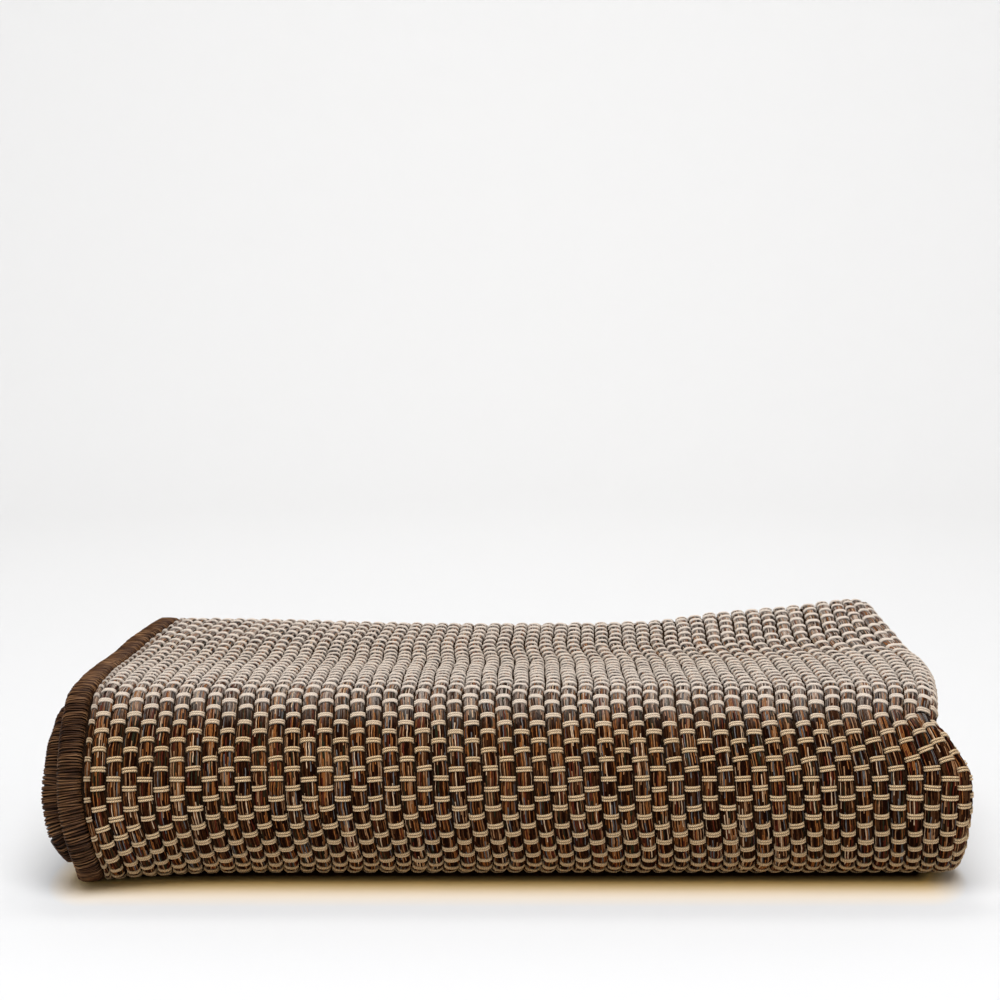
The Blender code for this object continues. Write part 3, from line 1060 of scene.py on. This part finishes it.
# How unevenly each shape is laid: its turn, in radians, and its size
UNEVEN_BUNDLES = (0.03, 0.04)
UNEVEN_PAIRS = (0.08, 0.06)
UNEVEN_NUBS = (0.05, 0.05)
UNEVEN_WRAPS = (0.08, 0.02)


def columns(*values):
    """Columns of numbers, side by side; a single number fills its column."""
    return np.column_stack(np.broadcast_arrays(*values))


def weave_places(rows, bundles, lengths, random, strands):
    """Points and directions for one shape on each crossing."""
    count = len(rows)
    shifted = lengths + random.uniform(-1, 1, count) * SHIFT_ALONG
    place = place_after(shifted)
    narrow = bundles == 0
    even = np.where(narrow, NARROW_BUNDLE, bundles + FIRST_BUNDLE)
    points = bundle_at(place, even)
    along, outwards, pitch = lay_of(place, even)
    pitch = np.where(narrow, NARROW_SHARE * pitch, pitch)
    sideways = unit(np.cross(along, outwards))
    points = points + sideways * (random.uniform(-1, 1, count) * SHIFT_ACROSS)[:, None]
    stretch = columns(pitch / BUNDLE_PITCH, 1.0, 1.0)
    start = columns(bundles * strands, rows, 0.0)
    return points, {OUTWARDS: outwards, ALONG: along, STRETCH: stretch, PATTERN_START: start}


def weave_region(name, group, span, shapes, finishes, seed):
    """The bundles and the pairs of one part of the cloth, as two pieces."""
    random = np.random.default_rng(seed)
    bundle_shape, pair_shape = shapes
    weft_material, warp_material = finishes
    bundle_places = weave_places(*crossings(*span, offset=0.5), random, STRANDS_ACROSS)
    pair_places = weave_places(*crossings(*span, offset=0.0), random, PAIR_PATTERN_STEP)
    weft = lay(name + "_weft", group, bundle_shape, weft_material, bundle_places, UNEVEN_BUNDLES, seed)
    warp = lay(name + "_warp", group, pair_shape, warp_material, pair_places, UNEVEN_PAIRS, seed + 1)
    return [weft, warp]


CORE_STEPS = 12
CORE_TURN_POINTS = 7
CORE_CLEARANCE = 0.2 * MM


def hairpin(starts, centre, radius):
    """One face of the doubled cloth cut across: how far across, and how far out from its middle."""
    shares = np.linspace(0.0, 1.0, CORE_STEPS + 1)[:-1]
    angles = np.linspace(math.pi / 2, -math.pi / 2, CORE_TURN_POINTS)
    x = [mix(starts[0], centre, share) for share in shares]
    x += [centre + radius * math.cos(angle) for angle in angles]
    # A known fault: this half runs from near its far end back to the turn, so its faces lie double
    x += [mix(centre, starts[1], share) for share in reversed(shares)]
    turned_out = [radius * math.sin(angle) for angle in angles]
    return x, [radius] * CORE_STEPS + turned_out + [-radius] * CORE_STEPS


def shaded_core_sheet(finish):
    """The cloth under the yarn, coloured near-black in painted shade: what shows dark between the bundles.
    """
    by_run = [np.linspace(k, k + 1, CORE_STEPS + 1)[:-1] for k in range(len(RUNS))]
    rings = []
    for place in np.concatenate(by_run + [[LAST_PLACE]]):
        at = np.array([place])
        centre = end_of(at, TURN_END)[0] - HALF_PAIR
        starts = [end_of(at, end)[0] + BINDING_WIDTH - CORE_UNDER for end in (OUTER_END, INNER_END)]
        outer_x, outer_out = hairpin(starts, centre, HALF_PAIR - CORE_DROP)
        inner_x, inner_out = hairpin(starts, centre, PAIR_GAP / 2 + CORE_CLEARANCE)
        x = np.array(outer_x + inner_x[::-1])
        out = np.array(outer_out + inner_out[::-1])
        rings.append(off_the_spine(np.full_like(x, place), x, out))
    made = mesh_object("cloth_core", *joined_rings(rings, np.linspace(0, 1, len(rings))))
    made.data.materials.append(finish)
    return made


WRAP_SHIFT = 0.30 * MM
WRAP_PITCH = 1.24 * MM
EDGE_SAMPLES = 2801
EDGE_STEP = 0.003
EDGE_SIDEWAYS = 2 * MM
TENSION_CHANGE = 0.02
TENSION_POINTS = 160
BAR_POINTS = 10
WRAPS_A_RING = 5


def edge_places(column, side, random):
    """Where each wrap of one binding goes, a yarn's width apart along the edge."""
    middle_out = side * (HALF_PAIR + PAIR_GAP / 2) / 2

    def middle(place, sideways=0.0):
        x = end_of(place, column) + BINDING_WIDTH / 2 + WRAP_REACH + sideways
        return off_the_spine(place, x, middle_out)

    places = np.linspace(0.0, LAST_PLACE, EDGE_SAMPLES)
    lengths = travelled(middle(places))
    count = int(lengths[-1] / WRAP_PITCH)
    wanted = (np.arange(count) + 0.5) * lengths[-1] / count
    wanted = wanted + random.uniform(-1, 1, count) * WRAP_SHIFT
    place = np.clip(np.interp(wanted, lengths, places), EDGE_STEP, LAST_PLACE - EDGE_STEP)
    along = unit(middle(place + EDGE_STEP) - middle(place - EDGE_STEP))
    sideways = unit(middle(place, EDGE_SIDEWAYS) - middle(place, -EDGE_SIDEWAYS))
    outwards = unit(np.cross(sideways, along))
    return middle(place), outwards, along, wanted


def binding_bar(name, finish, points, outwards, along):
    """The bar of yarn under the wraps, through the middle of every few of them."""
    section = wrap_section(BAR_POINTS, BAR_SHARE)
    chosen = [*range(0, len(points), WRAPS_A_RING), len(points) - 1]
    rings = []
    for k in chosen:
        sideways = np.cross(along[k], outwards[k])
        rings.append(points[k] + MM * (section[:, :1] * sideways + section[:, 1:] * outwards[k]))
    heights = [float(k) for k in chosen]
    bar = mesh_object(name + "_bar", *joined_rings(rings, heights, around=0.0, start=BAR_SHADE))
    bar.data.materials.append(finish)
    return bar


def binding(name, group, wrap, finish, column, side, seed):
    """Wraps of yarn round the cloth's cut end, over a bar of the same yarn."""
    random = np.random.default_rng(seed)
    points, outwards, along, lengths = edge_places(column, side, random)
    changes = random.uniform(-1, 1, TENSION_POINTS)
    tension_places = np.linspace(0, lengths[-1], TENSION_POINTS)
    tension = 1.0 + TENSION_CHANGE * np.interp(lengths, tension_places, changes)
    stretch = columns(tension, 1.0, tension)
    start = columns(0.0, WRAP_PATTERN_STEP * np.arange(len(points)), 0.0)
    directions = {OUTWARDS: outwards, ALONG: along, STRETCH: stretch, PATTERN_START: start}
    wraps = lay(name + "_wraps", group, wrap, finish, (points, directions), UNEVEN_WRAPS, seed)
    return joined(name, [wraps, binding_bar(name, finish, points, outwards, along)], finish)


def joined(name, objects, finish):
    """Several objects as one, with their UV maps."""
    whole = bmesh.new()
    for part in objects:
        whole.from_mesh(part.data)
    mesh = bpy.data.meshes.new(name)
    whole.to_mesh(mesh)
    whole.free()
    give(mesh, finish)
    mesh.shade_smooth()
    for part in objects:
        drop(part)
    return link(bpy.data.objects.new(name, mesh))


def selvedge_places(place, toward, first):
    """Where the weft turns back at one selvedge, on both faces of the doubled cloth."""
    starts = np.arange(first, ALL_BUNDLES - 1, 2)
    between = starts + 0.5 + FIRST_BUNDLE
    at = np.full(len(between), place)
    points = bundle_at(at, between)
    along, outwards, pitch = lay_of(at, between)
    stretch = columns(pitch / BUNDLE_PITCH, 1.0, 1.0)
    start = columns(starts * STRANDS_ACROSS, 0.0, 0.0)
    return points, {OUTWARDS: outwards, ALONG: toward * along, STRETCH: stretch, PATTERN_START: start}


BEFORE_THE_TURN = TURN_START - 3
PAST_THE_TURN = TURN_STOP + 4
SEEDS_A_REGION = 10
SELVEDGE_SEED = SEED + 90
BINDING_SEED = SEED + 100


def make_rug():
    weft, warp, wrapped, shaded = weft_finish(), warp_finish(), binding_finish(), core_shade_finish()
    group = laying_group()
    fine = (bundle_length(arch_sides=6), warp_pair(YARN_WAY, sides=5))
    plain = (bundle_length(arch_sides=4), warp_pair(YARN_WAY_PLAIN, sides=4))
    nub, wrap = selvedge_nub(), one_wrap()
    regions = (
        # name, place from and to, bundles from and to, shapes
        ("front", (1.0, 2.0, 0, PAST_THE_TURN), fine),
        ("top", (2.0, 3.0, 0, PAST_THE_TURN), fine),
        ("back_fold", (3.0, 4.0, 0, PAST_THE_TURN), fine),
        ("underside", (0.0, 1.0, 0, PAST_THE_TURN), plain),
        ("inner_fold", (4.0, 7.0, BEFORE_THE_TURN, PAST_THE_TURN), fine),
    )
    cloth_pieces = []
    for number, (name, span, shapes) in enumerate(regions):
        seed = SEED + SEEDS_A_REGION * number
        cloth_pieces += weave_region(name, group, span, shapes, (weft, warp), seed)
    lower = selvedge_places(place=0.0, toward=-1.0, first=0)
    inner = selvedge_places(place=LAST_PLACE, toward=1.0, first=1)
    cloth_pieces += [
        lay("lower_selvedge", group, nub, weft, lower, UNEVEN_NUBS, SELVEDGE_SEED),
        lay("inner_selvedge", group, nub, weft, inner, UNEVEN_NUBS, SELVEDGE_SEED + 1),
    ]
    edges = [
        binding("outer_end_wrapping", group, wrap, wrapped, OUTER_END, side=1, seed=BINDING_SEED),
        binding("inner_end_wrapping", group, wrap, wrapped, INNER_END, side=-1, seed=BINDING_SEED + 1),
    ]
    shaded_core = shaded_core_sheet(shaded)
    for shape in (*fine, *plain, nub, wrap):
        drop(shape)
    for piece in (shaded_core, *cloth_pieces):
        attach(piece, BODY)
        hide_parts(CLOTH_NODE)
    for piece, node in zip(edges, ("outer_end_binding", "inner_end_binding")):
        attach(piece, BODY)
        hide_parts(node)


# ---- Camera, floor and light ----


CAMERA = {"sensor_width": 36.0, "lens": 70.56, "shift_x": -0.065, "clip_start": 0.01}
CAMERA_X = 0.0279
CAMERA_BACK = 0.9286
CAMERA_HEIGHT = 0.297
CAMERA_DOWN = 6.26


def make_camera():
    data = bpy.data.cameras.new("camera")
    for setting, value in CAMERA.items():
        setattr(data, setting, value)
    camera = link(bpy.data.objects.new("camera", data))
    camera.location = (CENTRE_SHIFT[0] + CAMERA_X, CENTRE_SHIFT[1] + FRONT - CAMERA_BACK, CAMERA_HEIGHT)
    camera.rotation_euler = (math.radians(90.0 - CAMERA_DOWN), 0.0, 0.0)
    bpy.context.scene.camera = camera


FLOOR_RADII = (0.02, 0.7, 1.6)
FLOOR_SIDES = 64
SWEEP_RADIUS = 0.9
SWEEP_STEPS = 10
WALL_TOP = 2.6


def make_floor():
    """A flat pale floor that curves up far behind the rug on every side."""
    flat_radius = FLOOR_RADII[-1]
    profile = [(radius, 0.0) for radius in FLOOR_RADII]
    for step in range(1, SWEEP_STEPS + 1):
        angle = math.pi / 2 * step / SWEEP_STEPS
        radius = flat_radius + SWEEP_RADIUS * math.sin(angle)
        profile.append((radius, SWEEP_RADIUS * (1 - math.cos(angle))))
    profile.append((flat_radius + SWEEP_RADIUS, WALL_TOP))
    around = [2 * math.pi * side / FLOOR_SIDES for side in range(FLOOR_SIDES)]
    rings = []
    for radius, height in profile:
        rings.append([(radius * math.cos(angle), radius * math.sin(angle), height) for angle in around])
    points, faces, _ = joined_rings(rings, [0.0] * len(rings))
    open_at_the_top = faces[:-1]
    mesh = bpy.data.meshes.new("floor")
    mesh.from_pydata(points.tolist(), [], open_at_the_top)
    mesh.shade_smooth()
    mesh.materials.append(floor_finish())
    floor = link(bpy.data.objects.new("floor", mesh))


WHITE = (1.0, 1.0, 1.0, 1.0)
WORLD_STRENGTH = 0.1
AREA_LIGHTS = (
    # name, size, power, colour, location, aim
    ("overhead", 2.0, 62.0, (0.98, 0.985, 1.0), (0.0, -0.95, 2.1), (0.0, 0.0, 0.0)),
    ("backdrop", 1.4, 28.5, (1.0, 0.985, 0.965), (0.0, 1.2, 2.3), (0.0, 2.4, 0.5)),
)


def area_light(name, size, power, colour, location, aim):
    data = bpy.data.lights.new(name, "AREA")
    data.shape = "DISK"
    data.size = size
    data.energy = power
    data.color = colour
    light = link(bpy.data.objects.new(name, data))
    light.location = location
    direction = Vector(aim) - Vector(location)
    light.rotation_euler = direction.to_track_quat("-Z", "Y").to_euler()


def make_light():
    world = bpy.data.worlds.new("soft_light")
    world.use_nodes = True
    background = world.node_tree.nodes["Background"]
    background.inputs["Color"].default_value = WHITE
    background.inputs["Strength"].default_value = WORLD_STRENGTH
    bpy.context.scene.world = world
    for values in AREA_LIGHTS:
        area_light(*values)
    bpy.context.scene.view_settings.view_transform = "Standard"


make_camera()
make_rug()
make_floor()
make_light()
